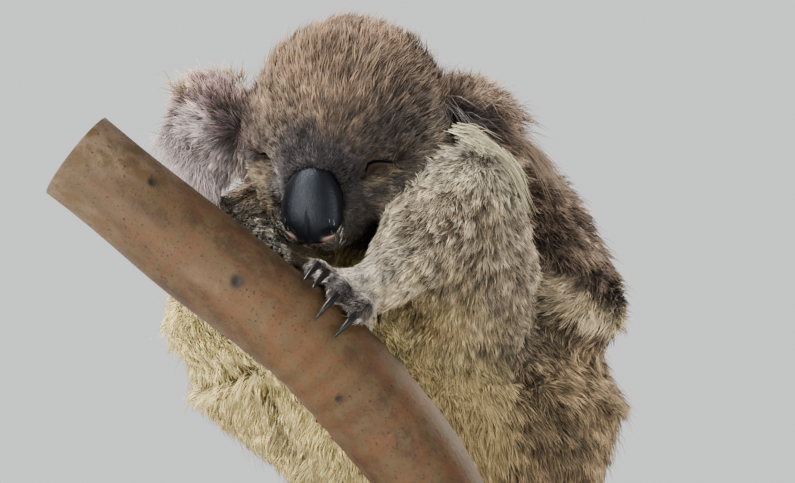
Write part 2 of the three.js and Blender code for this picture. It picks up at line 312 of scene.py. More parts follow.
# The branch thickens a little as it goes down, and isn't quite round.
bark_radius = BRANCH_RADIUS * (
    1 + 0.05 * t + 0.025 * np.sin(9 * t + turn) + 0.02 * np.sin(17 * t - 2 * turn)
)
# Each knot is a low boss with a pit: how far along, how far round in radians, how wide and how high.
KNOTS = [
    (0.36, 3.1, 0.007, 0.0011),
    (0.14, 2.5, 0.005, 0.0008),
    (0.62, 3.5, 0.004, 0.0007),
    (0.50, 2.2, 0.003, 0.0006),
]
PIT_DEPTH, PIT_WIDTH = 1.6, 0.35  # as shares of the boss's height and width
knot_shade = np.zeros_like(bark_radius)
for share, side, wide, tall in KNOTS:
    across = (np.mod(turn - side + np.pi, 2 * np.pi) - np.pi) * BRANCH_RADIUS
    reach = np.hypot((t - share) * branch_length, across) / wide
    bark_radius += tall * (np.exp(-(reach**2)) - PIT_DEPTH * np.exp(-((reach / PIT_WIDTH) ** 2)))
    knot_shade = np.maximum(knot_shade, np.exp(-((reach / 0.8) ** 2)))
# Faint wrinkles run round the bend, 0.35 mm high and strongest at its middle.
bend = np.exp(-(((t - 0.58) / 0.16) ** 2))
bark_radius += 0.00035 * np.sin(150 * t + 2.2 * np.sin(turn + 3 * t)) * bend
out = back[:, None] * np.cos(turn)[..., None] + up[:, None] * np.sin(turn)[..., None]
rings = spine[:, None] + out * bark_radius[..., None]
# The sawn ends: a small chipped round, then flat saw cuts in to the middle.
SAW_CUTS = (0.985, 0.9, 0.6, 0.3, 0.02)
first_cuts, last_cuts = (
    np.array([spine[end] + (rings[end] - spine[end]) * cut for cut in SAW_CUTS]) for end in (0, -1)
)
points, triangles = woven(np.concatenate([first_cuts[::-1], rings, last_cuts]))
# The bark's pattern is laid out on a straight branch, so that it follows the bends.
inwards = np.linspace(1, SAW_CUTS[-1], len(SAW_CUTS))
wide = BRANCH_RADIUS * np.concatenate([inwards[::-1], np.ones(RINGS), inwards])[:, None]
share = np.concatenate([inwards * 0, t[:, 0], inwards * 0 + 1])[:, None]
straight = np.stack(
    np.broadcast_arrays(np.cos(turn) * wide, np.sin(turn) * wide, share * branch_length), -1
).reshape(-1, 3)
straight = np.vstack([straight, (0, 0, 0), (0, 0, branch_length)])
cut_rows = np.zeros((len(SAW_CUTS), SIDES))
knots = np.concatenate([cut_rows, knot_shade, cut_rows])
sawn_face = np.concatenate([cut_rows + 1, knot_shade * 0, cut_rows + 1])
marks = np.vstack([as_marks(knots, sawn_face), [(0, 1, 0, 1), (0, 1, 0, 1)]])


def gum_bark(place):
    """Brown bark, red-brown in streaks along it and weathered pale at the top end, with lichened and
    rusty patches, dark freckles and dark knots. The sawn ends show rings."""
    grain = place.carried("grain", "Vector")
    knot, sawn = place.marks()
    patch = grain.stretched((1, 1, 0.35)).noise(28, 4, 0.55)
    streak = grain.stretched((1, 1, 0.06)).noise(170, 3, 0.6)
    freckle = grain.noise(520, 2, 0.5)
    wrinkle = grain.stretched((1, 1, 2.2)).noise(240, 3, 0.65)
    run = grain.node("SeparateXYZ", {}, {"Vector": grain}, "Z")
    top_end = (patch - 0.5) * 0.5 - run
    colour = patch.step(0.36, 0.68).mixed((0.038, 0.020, 0.008, 1), (0.082, 0.038, 0.012, 1))
    for cover, over in (
        (streak.step(0.50, 0.78), (0.085, 0.029, 0.008, 1)),
        (top_end.step(-0.16, 0.05), (0.135, 0.090, 0.055, 1)),
        (grain.noise(85, 5, 0.7).step(0.40, 0.64), (0.066, 0.043, 0.018, 1)),
        (grain.noise(45, 5, 0.7).step(0.44, 0.78), (0.088, 0.037, 0.013, 1)),
        (freckle.step(0.60, 0.74), (0.024, 0.014, 0.009, 1)),
        (knot.step(0.15, 0.9), (0.016, 0.011, 0.008, 1)),
    ):
        colour = cover.mixed(colour, over)
    ring = grain.node("VectorMath", {"operation": "LENGTH"}, {0: grain.stretched((1, 1, 0))}, "Value")
    rings = ring.maths("SINE", ring * 2600 + patch * 6)
    heart = (rings * 0.5 + 0.5).mixed((0.20, 0.125, 0.07, 1), (0.30, 0.21, 0.12, 1))
    return {
        "Base Color": sawn.mixed(colour, heart),
        "Roughness": patch * 0.2 + 0.62,
        "Normal": (streak * 0.35 + freckle * 0.3 + patch * 0.6 + wrinkle * 0.5).bump(0.45, 0.0014),
    }


bark = material("gum bark", {"Specular IOR Level": 0.3}, gum_bark)
piece("branch", "bark", points, triangles, bark, ["perch_branch"], grain=straight, marks=marks)


# ---- The body's layout ----
# The joints and forms that the skin and the coat are worked out from: where each part of the body
# runs, how far out it reaches, how deep its coat is and which way the coat lies.
JOINTS = {
    "left": {
        "shoulder": at(0.080, 0.042, 0.208),
        "elbow": at(0.121, 0.006, 0.147),
        "wrist": at(0.032, -0.010, 0.180),
        "hip": at(0.050, -0.014, 0.128),
        "knee": at(0.046, -0.078, 0.222),
        "ankle": at(-0.004, -0.108, 0.166),
        "toes": at(-0.030, -0.125, 0.150),
    },
    "right": {
        "shoulder": at(-0.072, 0.042, 0.204),
        "elbow": at(-0.119, -0.006, 0.138),
        "wrist": at(-0.052, -0.074, 0.116),
        "hip": at(-0.034, -0.005, 0.104),
        "knee": at(-0.108, -0.022, 0.188),
        "ankle": at(-0.084, -0.076, 0.178),
        "toes": at(-0.090, -0.092, 0.185),
    },
}
HEAD = at(-0.032, -0.050, 0.266)
HEAD_TURN = (
    Matrix.Rotation(math.radians(4), 3, "Y")
    @ Matrix.Rotation(math.radians(-18), 3, "Z")
    @ Matrix.Rotation(math.radians(40), 3, "X")
)
HEAD_AXES = np.array(HEAD_TURN)
NOSE = np.array([0.0, -0.0735, -0.006])  # in the head's own frame
NOSE_WIDTH, NOSE_LENGTH = 0.041, 0.052
NOSE_AXES = np.array(Matrix.Rotation(math.radians(-38), 3, "X"))
LID_LENGTH = 0.0125  # half of it


def nose_half_width(share):
    """Half the pad's width at a share of the way up from its middle: broadest below it."""
    return NOSE_WIDTH / 2 * (0.97 - 0.20 * share - 0.10 * share**2)


def slit_line(share):
    """How far up the slit between the lids is, at a share of the way out from its middle."""
    return 0.0016 * (1 - share**2)


def in_head(place):
    """A place in the head's own frame: X to its left, -Y out of the face, Z to the crown."""
    return (place - HEAD) @ HEAD_AXES


def of_head(place):
    return place @ HEAD_AXES.T + HEAD


def outside_limb(start, end, first, last):
    """How far a place is outside a rounded limb whose radius changes evenly from start to end."""

    def measured(place):
        run = end - start
        share = np.clip((place - start) @ run / (run @ run), 0, 1)[:, None]
        radius = first + (last - first) * share[:, 0]
        return np.linalg.norm(place - start - share * run, axis=1) - radius

    return measured


def outside_oval(centre, radii, axes=np.eye(3)):
    """About how far a place is outside an oval form with those half-widths along its axes."""

    def measured(place):
        scaled = ((place - centre) @ axes) / radii
        length = np.linalg.norm(scaled, axis=1)
        return length * (length - 1) / np.maximum(np.linalg.norm(scaled / radii, axis=1), 1e-6)

    return measured


# Each ear: its middle, its half-height and half-width, and how it leans and turns in degrees.
EARS = {
    "left": dict(centre=at(0.055, -0.026, 0.265), long=0.042, short=0.029, lean=-46, turn=24),
    "right": dict(centre=at(-0.119, -0.040, 0.262), long=0.042, short=0.032, lean=6, turn=-22),
}
EAR_THICK = 0.014  # half of it
for ear in EARS.values():
    ear["axes"] = np.array(
        Matrix.Rotation(math.radians(ear["turn"]), 3, "Z")
        @ Matrix.Rotation(math.radians(ear["lean"]), 3, "Y")
        @ Matrix.Rotation(math.radians(8), 3, "X")
    )

# Each limb: its two ends, its radius at each, the coat's depth, its length, and a tuft's half-width.
LIMBS = {
    f"{name}_{side}": (joint[start], joint[end], *sizes)
    for side, joint in JOINTS.items()
    for name, start, end, *sizes in (
        ("arm", "shoulder", "elbow", 0.043, 0.034, 0.0080, 0.0110, 0.00045),
        ("forearm", "elbow", "wrist", 0.033, 0.020, 0.0065, 0.0095, 0.00042),
        ("thigh", "hip", "knee", 0.048, 0.034, 0.0058, 0.0078, 0.00038),
        ("shank", "knee", "ankle", 0.033, 0.023, 0.0055, 0.0080, 0.00038),
        ("foot", "ankle", "toes", 0.018, 0.020, 0.0020, 0.0055, 0.00032),
    )
}
HAND = (0.017, 0.019, 0.0020, 0.0055, 0.00032)
LIMBS["hand_left"] = (at(0.012, -0.030, 0.178), at(-0.012, -0.055, 0.170), *HAND)
LIMBS["hand_right"] = (JOINTS["right"]["wrist"], at(-0.030, -0.095, 0.100), *HAND)
NECK = (at(-0.020, -0.020, 0.262), at(0.004, 0.050, 0.210))
TRUNK = [
    outside_oval(at(0.060, 0.026, 0.076), (0.094, 0.088, 0.075)),
    outside_oval(at(-0.054, 0.018, 0.110), (0.090, 0.078, 0.061)),
    outside_oval(at(0.010, 0.046, 0.160), (0.112, 0.080, 0.088)),
    outside_oval(at(0.004, 0.044, 0.222), (0.086, 0.062, 0.054)),
    outside_oval(at(-0.008, -0.026, 0.068), (0.073, 0.054, 0.062)),
]


def outside_trunk(place):
    return np.minimum.reduce([outside(place) for outside in TRUNK])


# Each zone: how far outside it a place is, the coat's depth, its length, and a tuft's half-width.
ZONES = {
    "head": (outside_oval(HEAD, (0.066, 0.066, 0.060), HEAD_AXES), 0.0070, 0.0130, 0.00038),
    "neck": (outside_limb(*NECK, 0.050, 0.066), 0.0085, 0.0150, 0.00050),
    "trunk": (outside_trunk, 0.0080, 0.0110, 0.00045),
}
for side, ear in EARS.items():
    form = outside_oval(ear["centre"], (ear["short"], EAR_THICK, ear["long"]), ear["axes"])
    ZONES[f"ear_{side}"] = (form, 0.0045, 0.0095, 0.00034)
    for name in ("arm", "forearm", "thigh", "shank", "foot"):
        limb = LIMBS[f"{name}_{side}"]
        ZONES[f"{name}_{side}"] = (outside_limb(*limb[:4]), *limb[4:])
for name in ("hand_left", "hand_right"):
    ZONES[name] = (outside_limb(*LIMBS[name][:4]), *LIMBS[name][4:])
ZONE_NAMES = list(ZONES)


def shares(place):
    """How much of each zone there is at a place: they fall off over BLEND and add up to 1."""
    BLEND = 0.006
    far = np.stack([ZONES[zone][0](place) for zone in ZONE_NAMES], 1)
    weight = np.exp(-np.clip(far - far.min(1, keepdims=True), 0, 0.2) / BLEND)
    return weight / weight.sum(1, keepdims=True)


def rise(value, start, end):
    """0 before start and 1 past end, with a smooth rise between."""
    share = np.clip((value - start) / (end - start), 0, 1)
    return share * share * (3 - 2 * share)


def coat_measures(place, share):
    """The coat's depth, its length and a tuft's half-width at a place: those of the zones there, all
    of them less towards the nose."""
    depth, length, width = (share @ np.array([ZONES[zone][1:] for zone in ZONE_NAMES])).T
    from_nose = np.linalg.norm(in_head(place) - NOSE, axis=1)
    near_nose = share[:, ZONE_NAMES.index("head")] * (1 - rise(from_nose, 0.030, 0.110))
    depth, length = depth * (1 - 0.80 * near_nose), length * (1 - 0.66 * near_nose)
    return depth, length, width * (1 - 0.35 * near_nose)


# ---- The skin ----
# One skin over the whole body, inside the solids of flesh by the coat's depth. It carries the coat's
# own markings, darkened as painted shade between the tufts, so that no gap between them shows pale.
FLESH = [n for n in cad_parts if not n.startswith(("stand", "perch", "claw", "nose", "eyelid"))]
SWELL = 0.0006  # each solid is swelled by this so that neighbours meet
VOXEL = 0.0028  # the fineness at which they are made one


def mesh_rows(mesh):
    """A mesh's corners, and its triangles as rows of three corner numbers."""
    mesh.calc_loop_triangles()
    corner = np.empty(len(mesh.vertices) * 3, np.float32)
    mesh.vertices.foreach_get("co", corner)
    triangle = np.empty(len(mesh.loop_triangles) * 3, np.int32)
    mesh.loop_triangles.foreach_get("vertices", triangle)
    return corner.reshape(-1, 3).astype(float), triangle.reshape(-1, 3)


def merged(node):
    """A CAD node's corners and triangles, with corners in the same place made one, and swelled."""
    corner, triangle = mesh_rows(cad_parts[node].data)
    points, same = np.unique(np.round(corner, 6), axis=0, return_inverse=True)
    triangle = same.ravel()[triangle]
    return points + SWELL * normals(points, triangle), triangle


def normals(points, triangles):
    """The direction out of a mesh at each point: the sum of its faces' directions, by their areas."""
    a, b, c = (points[triangles[:, k]] for k in range(3))
    facing = np.cross(b - a, c - a)
    total = np.stack(
        [
            sum(np.bincount(triangles[:, k], facing[:, axis], len(points)) for k in range(3))
            for axis in range(3)
        ],
        1,
    )
    return unit(total)


points, triangles = [], []
for node in FLESH:
    corner, triangle = merged(node)
    triangles.append(triangle + sum(len(p) for p in points))
    points.append(corner)
rough = piece("rough_body", "coat", np.vstack(points), np.vstack(triangles), wood)
remesh = rough.modifiers.new("one skin", "REMESH")
remesh.mode = "VOXEL"
remesh.voxel_size = VOXEL
points, triangles = mesh_rows(rough.evaluated_get(bpy.context.evaluated_depsgraph_get()).data)
bpy.data.objects.remove(rough)

# Bits left inside, where solids didn't quite meet, aren't joined to the skin and are dropped.
label = np.arange(len(points))
edges = np.vstack([triangles[:, [0, 1]], triangles[:, [1, 2]], triangles[:, [2, 0]]])
edges = np.unique(np.sort(edges, 1), axis=0)
while True:
    lowest = label.copy()
    np.minimum.at(lowest, edges[:, 0], label[edges[:, 1]])
    np.minimum.at(lowest, edges[:, 1], label[edges[:, 0]])
    lowest = lowest[lowest]
    if (lowest == label).all():
        break
    label = lowest
body = np.bincount(label).argmax()
kept = label == body
number = np.cumsum(kept) - 1
triangles = number[triangles[kept[triangles[:, 0]]]]
points = points[kept]
edges = number[edges[kept[edges[:, 0]]]]


def eased(values, edges, times, pull=0.5, push=0.0):
    """Each value moved towards its neighbours' mean by pull, then back by push, so many times."""
    near = np.bincount(edges.ravel(), minlength=len(values))[:, None]

    def step(values, share):
        total = np.stack(
            [
                np.bincount(edges[:, 0], column[edges[:, 1]], len(values))
                + np.bincount(edges[:, 1], column[edges[:, 0]], len(values))
                for column in values.T
            ],
            1,
        )
        return values + share * (total / near - values)

    for _ in range(times):
        values = step(values, pull)
        if push:
            values = step(values, -push)
    return values


# The steps of the solids are smoothed away, and the skin is sunk by the coat's depth.
points = eased(points, edges, 22, pull=0.6, push=0.58)
facing = eased(normals(points, triangles), edges, 6)
depth = coat_measures(points, shares(points))[0]
points = points - unit(facing) * eased(depth[:, None], edges, 4)
points = eased(points, edges, 2)


# The face under the coat: a hollow for each eye, a brow over it, a ridge down to the nose, and the
# cheeks' edges beside the muzzle. Each eye's slit runs outwards from beside the nose.
SLIT_MIDDLE, SLIT_RUN = (0.0395, -0.0510, 0.0030), (0.80, 0.59, 0.12)


def slit(sign):
    """The middle of one eye's slit in the head's frame, and its axes: along it, up, and out."""
    middle = np.array(SLIT_MIDDLE) * (sign, 1, 1)
    outward = unit(np.array(SLIT_RUN) * (sign, 1, 1))
    out = unit(np.cross((0.0, 0.0, sign), -outward))
    out = out * np.sign(-out[1])
    up = np.cross(out, outward) * -sign
    return middle, np.stack([outward, up * np.sign(up[2]), out], 1)


def eye_place(local, sign):
    """A place beside one eye's slit: how far along it as a share of its half length, how far over the
    line of the slit, and how far out of the face."""
    middle, axes = slit(sign)
    across, upward, out = ((local - middle) @ axes).T
    share = across / LID_LENGTH
    return share, upward - slit_line(share), out


def face_relief(local):
    """How far the face stands out: the sum of round hills and hollows, each with a middle, its
    half-sizes and its height. They are the bridge, and at each side the eye's hollow, the brow over
    it, the cheek under it and the groove beside the muzzle."""

    def hill(middle, sizes, height):
        return height * np.exp(-(((local - middle) / sizes) ** 2).sum(1))

    relief = hill((0, -0.066, 0.024), (0.010, 0.02, 0.018), 0.0016)
    for sign in (-1, 1):
        eye, _ = slit(sign)
        relief += hill(eye - (0, 0, 0.001), (0.013, 0.02, 0.005), -0.0022)
        relief += hill(eye + (0, 0, 0.011), (0.015, 0.02, 0.007), 0.0018)
        relief += hill(eye - (0, 0, 0.011), (0.013, 0.02, 0.006), 0.0012)
        relief += hill((sign * 0.027, -0.060, -0.020), (0.005, 0.02, 0.020), -0.0028)
    return relief


points += normals(points, triangles) * face_relief(in_head(points))[:, None]

# Deep creases where thighs, rump and arms press together, each a line of places.
CREASE_DEPTH = 0.006
CREASES = [
    [at(0.091, 0, 0.160), at(0.092, 0, 0.145), at(0.080, 0, 0.118), at(0.075, 0, 0.104)],
    [at(0.099, 0, 0.108), at(0.090, 0, 0.104), at(0.080, 0, 0.098)],
    [at(-0.130, 0, 0.098), at(-0.112, 0, 0.100), at(-0.088, 0, 0.112)],
    [at(-0.082, 0, 0.094), at(-0.070, 0, 0.070), at(-0.058, 0, 0.052)],
]


def creased(place):
    """1 along a crease of the koala's front and 0 away from it, seen from straight before it."""
    nearest = np.full(len(place), 1.0)
    for line in CREASES:
        for start, end in zip(line, line[1:]):
            run = end - start
            share = np.clip(((place - start) * (1, 0, 1)) @ run / (run @ run), 0, 1)[:, None]
            gap = (place - start - share * run) * (1, 0, 1)
            nearest = np.minimum(nearest, np.linalg.norm(gap, axis=1))
    return np.exp(-((nearest / 0.0045) ** 2)) * rise(0.03 - place[:, 1], 0, 0.02)


points -= normals(points, triangles) * CREASE_DEPTH * creased(points)[:, None]


# ---- The markings ----
# Grey-brown fur on the back and limbs, cream below, nearly black round the nose, and pale hair round
# the ears. The skin and every tuft of the coat take their colour from here.
def noise(place, size, seed=0):
    """Smooth noise from -1 to 1: a value for each corner of a lattice of that size, scrambled from the
    corner's whole numbers and the seed, and blended between corners."""
    spot = place / size + 17.3 * (seed + 1)
    cell = np.floor(spot).astype(np.int64)
    part = spot - cell
    part = part * part * (3 - 2 * part)
    total = np.zeros(len(place))
    for corner in np.ndindex(2, 2, 2):
        x, y, z = (cell + corner).T
        mixed = (x * 73856093) ^ (y * 19349663) ^ (z * 83492791) ^ (seed * 2654435761)
        mixed = (mixed ^ (mixed >> 15)) * 2246822519 & 0xFFFFFFFF
        mixed = (mixed ^ (mixed >> 13)) * 3266489917 & 0xFFFFFFFF
        value = ((mixed >> 8) & 0xFFFF) / 32767.5 - 1
        total += value * np.prod(np.where(corner, part, 1 - part), axis=1)
    return total


def layered(place, layers):
    """A sum of noises, each with its strength, its size and its seed."""
    return sum(strength * noise(place, size, seed) for strength, size, seed in layers)


COLOURS = {
    "crown": (0.270, 0.178, 0.108),
    "brow": (0.070, 0.049, 0.035),
    "muzzle": (0.026, 0.022, 0.023),
    "silver": (0.260, 0.240, 0.230),
    "cheek": (0.520, 0.400, 0.230),
    "ear_dark": (0.045, 0.027, 0.028),
    "ear_pale": (0.700, 0.600, 0.590),
    "beige": (0.340, 0.255, 0.190),
    "back": (0.120, 0.086, 0.062),
    "grey": (0.300, 0.250, 0.175),
    "knee": (0.350, 0.310, 0.235),
    "buff": (0.800, 0.670, 0.440),
    "mauve": (0.270, 0.185, 0.175),
    "olive": (0.560, 0.510, 0.340),
    "pale": (0.740, 0.690, 0.600),
    "tan": (0.300, 0.225, 0.130),
    "cream": (0.880, 0.710, 0.370),
    "white": (0.950, 0.810, 0.380),
    "digit": (0.060, 0.054, 0.056),
    # Painted shade for the creases.
    "crease": (0.040, 0.028, 0.020),
    # Painted shade along an eye's slit.
    "slit": (0.020, 0.014, 0.010),
    "lid": (0.165, 0.124, 0.072),
    "shaded head": (0.042, 0.029, 0.021),
    "arm": (0.102, 0.073, 0.053),
    "shaded leg": (0.126, 0.105, 0.074),
    "hand": (0.096, 0.086, 0.090),
}
COLOURS = {name: np.array(colour) for name, colour in COLOURS.items()}


def blended(first, second, share):
    return first + (second - first) * share[:, None]


# A patch of colour has one to four edges. Each edge: how much X, Y and Z count, how much the edge
# wavers, and where the patch starts and where it is full. The head's are in its own frame.
BELLY = (
    ((0, -1, 0), 1, -0.035, -0.005),
    ((-1, 0, 0), 1.5, -0.082, -0.060),
    ((0, 0, -1), 0, -0.20, -0.17),
)
CHEEK = (((0, 0, -1), 1, 0, 0.012), ((0, -1, 0), 0, 0.005, 0.025))
# The beige over the shoulder's outer edge is partly the fur's own colour and partly painted rim light.
SHOULDER = (((0, 0, 1), 1, 0.15, 0.19), ((1, 0, 0), 0, 0.06, 0.08))
INNER_LEG = (((0, 0, -1), 3, -0.176, -0.141), ((-1, 0, 0), 3, -0.080, -0.030))
# Each part: its ground colour, and the patches laid over it, each with a colour, a strength and edges.
PARTS = {
    "head": [
        "brow",
        ("crown", 1, ((0, 0.4, 1), 1, 0, 0.050)),
        ("cheek", 1, ((-1, 0, 0), 0, 0.030, 0.044), *CHEEK),
        # On the head's left side, away from the lamps, the cheek patch is faint, the side is darker and
        # it is nearly black under the eye: painted shade.
        ("cheek", 0.25, ((1, 0, 0), 0, 0.030, 0.044), *CHEEK),
        ("shaded head", 0.8, ((1, 0, 0), 1, 0.012, 0.045), ((0, 0, 1), 0, -0.02, 0.01)),
        ("muzzle", 0.9, ((1, 0, 0), 0, 0.012, 0.026), ((0, 0, -1), 1, -0.002, 0.006)),
    ],
    "body": [
        "back",
        ("tan", 1, ((0, 0, -1), 1, -0.135, -0.105)),
        ("white", 1, *BELLY, ((-1.2, 0, 0), 0, -0.06, 0.04)),
        ("cream", 1, *BELLY, ((1, 0, 0), 0, -0.02, 0.04)),
        ("beige", 0.7, *SHOULDER),
    ],
    "left arm": [
        "arm",
        ("beige", 0.7, *SHOULDER, ((1, 0, 0.35), 0, 0.165, 0.20)),
        ("tan", 1, ((-0.35, 0, -1), 1, -0.1816, -0.1696)),
        ("buff", 1, ((-0.48, 0, -1), 1, -0.2233, -0.2113), ((0.35, 0, 1), 1, 0.1736, 0.1856)),
    ],
    "right arm": ["back", ("white", 1, ((0, 0, -1), 1, -0.165, -0.145))],
    "left leg": ["grey", ("knee", 1, ((0, 0, 1), 2, 0.21, 0.245)), ("cream", 1, *INNER_LEG)],
    "right leg": ["shaded leg"],
    "left ear": ["beige"],
    "right ear": ["ear_pale", ("mauve", 1, ((0.4, 0, 1), 1, 0.208, 0.226))],
    "foot": ["pale"],
    "hand": ["hand"],
}


def within(place, waver, edges):
    """How much of a patch there is at a place: the product of a smooth rise over each of its edges."""
    share = np.ones(len(place))
    for direction, wavering, start, end in edges:
        share *= rise(place @ np.array(direction, float) + wavering * waver, start, end)
    return share


def painted_part(name, place, waver):
    """A part's ground colour with its patches over it."""
    ground, *patches = PARTS[name]
    colour = np.broadcast_to(COLOURS[ground], place.shape)
    for over, strength, *edges in patches:
        colour = blended(colour, COLOURS[over], strength * within(place, waver, edges))
    return colour


def ridge(value, wide):
    """1 where value is 0, falling off on both sides of it."""
    return np.exp(-((value / wide) ** 2))


# The dark patch inside each ear: its middle, half-width and half-height.
EAR_DARK = {
    "left": (at(0.044, 0, 0.262), 0.028, 0.020),
    "right": (at(-0.104, 0, 0.266), 0.013, 0.017),
}
BRIGHTEST = 0.92  # the most that any of a colour's three parts may be


def brightened(colour, factor):
    """Each colour times its factor, held back where it would pass white, so that it keeps its hue."""
    return colour * np.minimum(factor, BRIGHTEST / colour.max(-1, keepdims=True))


def head_colour(local, waver):
    """The head's patches, nearly black round the nose, silver beside it, and lids tan below and
    darkened with painted shade along their slit.
    """
    colour = painted_part("head", local, waver)
    from_nose = np.linalg.norm((local - (0, -0.070, 0.000)) / (0.032, 0.05, 0.038), axis=1)
    colour = blended(colour, COLOURS["muzzle"], 1 - rise(from_nose + waver * 14, 0.75, 1.20))
    # A band of silver hair beside the nose, only on the head's right side where the lamps fall: partly
    # the hair's own colour and partly painted light.
    beside = ridge(local[:, 0] + 0.0275 + waver * 0.3, 0.0038) * rise(-local[:, 2], -0.018, 0.002)
    colour = blended(colour, COLOURS["silver"], 0.75 * beside)
    for sign in (-1, 1):
        across, lift, out = eye_place(local, sign)
        near = rise(1.15 - np.abs(across), 0, 0.3) * (np.abs(out) < 0.015)
        # The tufts along each slit are darkened with painted shade.
        colour = blended(colour, COLOURS["slit"], near * ridge(lift, 0.0028))
        colour = blended(colour, COLOURS["lid"], near * 0.7 * ridge(lift + 0.0050, 0.0022))
    return colour


def ear_colour(side, place, body, waver):
    """The ear's patches, dark inside its front and beige behind."""
    ahead = -(place - EARS[side]["centre"]) @ EARS[side]["axes"][:, 1]
    middle, wide, tall = EAR_DARK[side]
    reach = np.hypot(place[:, 0] - middle[0], (place[:, 2] - middle[2]) * wide / tall) / wide
    inner = rise(ahead, -0.002, 0.003) * (1 - rise(reach + waver * 20, 0.60, 1.25))
    colour = blended(painted_part(f"{side} ear", body, waver), COLOURS["ear_dark"], inner)
    return blended(colour, COLOURS["beige"], rise(-ahead, 0.002, 0.008) * 0.8)


def foot_colour(side, place, waver):
    """Pale, with dark toes that start at a blotchy line."""
    ankle, toes = JOINTS[side]["ankle"], JOINTS[side]["toes"]
    along = (place - ankle) @ unit(toes - ankle)
    dark = rise(along + waver, 0.019, 0.033) * rise(0.80 - noise(place, 0.0065, 6), 0, 0.35)
    return blended(painted_part("foot", place, waver), COLOURS["digit"], dark)


# Noises, each with its strength, size and seed: how the coat is mottled, and how patches' edges waver.
MOTTLE = ((0.60, 0.0055, 1), (0.30, 0.017, 2), (0.55, 0.0032, 5))
WAVER = ((0.006, 0.02, 3), (0.004, 0.008, 4))


def markings(place, share):
    """The coat's colour: that of each zone by how much of it there is, mottled, and darkened with
    painted shade in the creases.
    """
    zone = dict(zip(ZONE_NAMES, share.T))
    body, local = place - at(0, 0, 0), in_head(place)
    waver = layered(place, WAVER)
    layers = [
        (head_colour(local, waver), zone["head"]),
        (painted_part("body", body, waver), zone["neck"] + zone["trunk"]),
    ]
    for side in JOINTS:
        layers += [
            (ear_colour(side, place, body, waver), zone[f"ear_{side}"]),
            (painted_part(f"{side} arm", body, waver), zone[f"arm_{side}"] + zone[f"forearm_{side}"]),
            (painted_part(f"{side} leg", body, waver), zone[f"thigh_{side}"] + zone[f"shank_{side}"]),
            (foot_colour(side, place, waver), zone[f"foot_{side}"]),
            (painted_part("hand", body, waver), zone[f"hand_{side}"]),
        ]
    total = sum(colour * weight[:, None] for colour, weight in layers)

    # Head, paws, belly and the inside of the left leg are mottled less than the rest.
    paws = sum(weight for name, weight in zone.items() if name.startswith(("foot", "hand")))
    plain = 0.30 * zone["head"] + 0.5 * paws
    plain += 0.65 * within(body, waver, BELLY) * (zone["neck"] + zone["trunk"])
    plain += 0.5 * within(body, waver, INNER_LEG) * (zone["thigh_left"] + zone["shank_left"])
    mottle = np.clip(layered(place, MOTTLE) - 0.1, -1, 0.8)
    swing = np.exp(1.6 * (1 - np.clip(plain, 0, 0.8)) * mottle)
    # The creases are darkened with painted shade.
    return blended(brightened(total, swing[:, None]), COLOURS["crease"], 0.6 * creased(place))


def fur_paint(place):
    """The coat's own colour, as each tuft carries it."""
    return {"Base Color": place.carried("coat")}


fur = material("fur", {"Roughness": 0.75, "Specular IOR Level": 0.18, "Sheen Weight": 0.12}, fur_paint)


def skin_paint(place):
    """Skin under the coat, in its colours darkened as painted shade between the tufts, with a woolly
    undercoat for bump.
    """
    wool = place.noise(900, 3, 0.6)
    return {"Base Color": place.carried("coat"), "Normal": wool.bump(0.6, 0.001)}


skin_finish = material("skin and undercoat", {"Roughness": 0.9, "Specular IOR Level": 0.1}, skin_paint)
skin_share = shares(points)
skin_colour = markings(points, skin_share)
# The skin is darkened as painted shade between the tufts.
skin_colour = skin_colour * (0.35 + 0.4 * skin_colour.mean(1, keepdims=True))
coat = np.concatenate([skin_colour, np.ones((len(points), 1))], 1)
piece("skin", "coat", points, triangles, skin_finish, FLESH, coat=coat)


# ---- The coat ----
# Dense woolly fur in small locks. Each lock is a few thin tufts that start close together and lean
# to one tip, lying along the body the way that the coat grows.
rng = np.random.default_rng(7)


def flow(place, facing, share):
    """Which way the coat lies: from the nose back over the head, down the trunk and along the limbs,
    and away from each eye's slit. Each zone's heading counts by how much of the zone there is."""
    local = in_head(place)
    heading = {name: end - start for name, (start, end, *_) in LIMBS.items()}
    heading |= {
        "head": (local - NOSE * (1, 0.9, 1)) @ HEAD_AXES.T,
        "neck": np.array([0.0, 0.55, -0.8]),
        "trunk": place * (2.5, 0, 0) + (0, 0.1, -1.0),
        "hand_left": np.array([-0.6, -0.7, -0.3]),
        "hand_right": np.array([0.3, -0.7, -0.4]),
    }
    for side, ear in EARS.items():
        heading[f"ear_{side}"] = place - (ear["centre"] * 0.75 + HEAD * 0.25)
        heading[f"thigh_{side}"] = -heading[f"thigh_{side}"]
    total = np.zeros_like(place)
    for name, weight in zip(ZONE_NAMES, share.T):
        total += weight[:, None] * unit(np.broadcast_to(heading[name], place.shape))
    for sign in (-1, 1):
        across, lift, out = eye_place(local, sign)
        near = np.exp(-((across / 1.1) ** 4) - (lift / 0.005) ** 2) * (np.abs(out) < 0.015)
        total += 2.5 * (near * np.sign(lift))[:, None] * HEAD_AXES[:, 2]
    total -= (total * facing).sum(1, keepdims=True) * facing
    return unit(total)


def seeded(count, thickness):
    """Random roots on the skin, and which way they face, with none where it is bare. How many fall on
    a triangle goes by its area times thickness there."""
    a, b, c = (points[triangles[:, k]] for k in range(3))
    area = np.linalg.norm(np.cross(b - a, c - a), axis=1) / 2
    weight = area * thickness[triangles].mean(1)
    chosen = np.searchsorted(np.cumsum(weight) / weight.sum(), rng.random(count))
    chosen = np.minimum(chosen, len(triangles) - 1)
    u, v = np.sort(rng.random((2, count)), axis=0)
    part = np.stack([u, v - u, 1 - v], 1)
    corner = triangles[chosen]
    facing = unit((skin_facing[corner] * part[..., None]).sum(1))
    place = (points[corner] * part[..., None]).sum(1)
    kept = ~bare(place)
    return place[kept], facing[kept]


PAD_HOLD = 0.90  # how far out on the nose pad no tuft grows, as a share of its half-width
SLIT_ABOVE, SLIT_BELOW = 0.0015, 0.0014  # how far over and under an eye's slit it is bare


